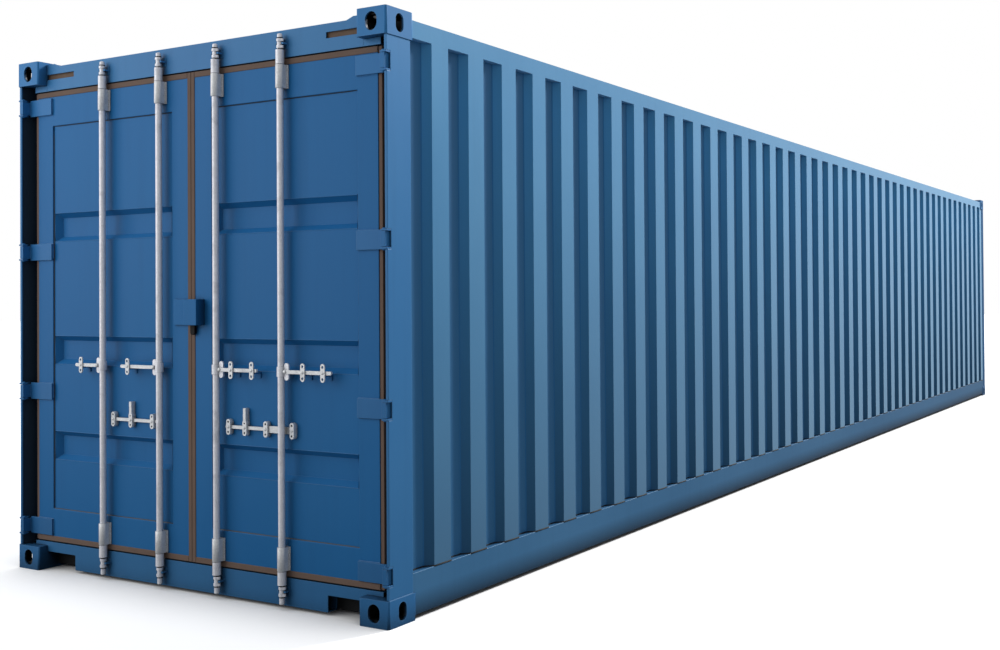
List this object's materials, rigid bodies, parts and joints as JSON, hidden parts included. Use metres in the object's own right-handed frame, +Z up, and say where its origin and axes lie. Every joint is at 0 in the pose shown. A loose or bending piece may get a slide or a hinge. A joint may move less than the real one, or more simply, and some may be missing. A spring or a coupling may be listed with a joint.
{
  "type": "shipping container",
  "caption": "Long corrugated steel freight container with twin doors, locking bars, hinged handles and hollow corner castings; doors swing back along the sides.",
  "frame": {"origin": "centre of the footprint on the floor under the bottom castings", "axes": "+X across the doors to the right as seen facing them, +Y from the doors to the closed end, +Z up"},
  "size_m": [2.438, 12.192, 2.591],
  "materials": {
    "casting_paint": "matt blue paint on cast steel",
    "frame_paint": "semi-gloss blue container paint",
    "door_paint": "semi-gloss blue container paint",
    "wall_paint": "semi-gloss blue container paint",
    "hinge_paint": "painted forged steel",
    "underframe_paint": "black underseal",
    "gasket_rubber": "weathered brown rubber",
    "deck_timber": "sealed hardwood plywood",
    "bar_zinc": "hot-dip galvanised",
    "gear_zinc": "hot-dip galvanised",
    "lock_steel": "blackened steel"
  },
  "bodies": {
    "shell": {"bottom_castings": "casting_paint", "cam_keepers": "frame_paint", "cross_members": "underframe_paint", "door_header": "frame_paint", "door_sill": "frame_paint", "end_bottom_rail": "frame_paint", "end_top_rail": "frame_paint", "end_wall": "wall_paint", "floor_deck": "deck_timber", "header_ends": "frame_paint", "left_bottom_rail": "frame_paint", "left_door_post": "frame_paint", "left_end_post": "frame_paint", "left_hinge_lugs": "hinge_paint", "left_side_wall": "wall_paint", "left_top_rail": "frame_paint", "right_bottom_rail": "frame_paint", "right_door_post": "frame_paint", "right_end_post": "frame_paint", "right_hinge_lugs": "hinge_paint", "right_side_wall": "wall_paint", "right_top_rail": "frame_paint", "roof": "wall_paint", "top_castings": "casting_paint", "tunnel": "underframe_paint"},
    "left_door": {"left_door_frame": "door_paint", "left_door_panel": "door_paint", "left_door_gasket": "gasket_rubber", "left_door_hinges": "hinge_paint", "left_bar_brackets": "gear_zinc", "left_handle_cradles": "door_paint", "left_seal_bar": "gear_zinc", "left_lock_box": "door_paint"},
    "right_door": {"right_door_frame": "door_paint", "right_door_panel": "door_paint", "right_door_gasket": "gasket_rubber", "right_door_hinges": "hinge_paint", "right_bar_brackets": "gear_zinc", "right_handle_cradles": "door_paint", "right_seal_bar": "gear_zinc", "right_lock_box": "door_paint", "lock_tongue": "lock_steel"},
    "left_outer_bar": {"left_outer_bar": "bar_zinc"},
    "left_inner_bar": {"left_inner_bar": "bar_zinc"},
    "right_inner_bar": {"right_inner_bar": "bar_zinc"},
    "right_outer_bar": {"right_outer_bar": "bar_zinc"},
    "left_outer_handle": {"left_outer_handle": "gear_zinc"},
    "left_inner_handle": {"left_inner_handle": "gear_zinc"},
    "right_inner_handle": {"right_inner_handle": "gear_zinc"},
    "right_outer_handle": {"right_outer_handle": "gear_zinc"}
  },
  "joints": [
    {"name": "left_door_hinge", "type": "hinge", "parent": "shell", "child": "left_door", "pos_m": [-1.195, -6.082, 1.3], "axis": [0, 0, -1], "range_deg": [0, 262]},
    {"name": "right_door_hinge", "type": "hinge", "parent": "shell", "child": "right_door", "pos_m": [1.195, -6.082, 1.3], "axis": [0, 0, 1], "range_deg": [0, 262]},
    {"name": "left_outer_bar_turn", "type": "hinge", "parent": "left_door", "child": "left_outer_bar", "pos_m": [-0.595, -6.07, 1.3], "axis": [0, 0, -1], "range_deg": [-100, 0]},
    {"name": "left_inner_bar_turn", "type": "hinge", "parent": "left_door", "child": "left_inner_bar", "pos_m": [-0.19, -6.07, 1.3], "axis": [0, 0, -1], "range_deg": [-100, 0]},
    {"name": "right_outer_bar_turn", "type": "hinge", "parent": "right_door", "child": "right_outer_bar", "pos_m": [0.595, -6.07, 1.3], "axis": [0, 0, 1], "range_deg": [-100, 0]},
    {"name": "right_inner_bar_turn", "type": "hinge", "parent": "right_door", "child": "right_inner_bar", "pos_m": [0.19, -6.07, 1.3], "axis": [0, 0, 1], "range_deg": [-100, 0]},
    {"name": "left_outer_handle_lift", "type": "hinge", "parent": "left_outer_bar", "child": "left_outer_handle", "pos_m": [-0.627, -6.077, 1.05], "axis": [0, -1, 0], "range_deg": [-30, 0]},
    {"name": "left_inner_handle_lift", "type": "hinge", "parent": "left_inner_bar", "child": "left_inner_handle", "pos_m": [-0.222, -6.077, 1.05], "axis": [0, -1, 0], "range_deg": [-30, 0]},
    {"name": "right_outer_handle_lift", "type": "hinge", "parent": "right_outer_bar", "child": "right_outer_handle", "pos_m": [0.627, -6.077, 1.05], "axis": [0, 1, 0], "range_deg": [-30, 0]},
    {"name": "right_inner_handle_lift", "type": "hinge", "parent": "right_inner_bar", "child": "right_inner_handle", "pos_m": [0.222, -6.077, 1.05], "axis": [0, 1, 0], "range_deg": [-30, 0]}
  ]
}
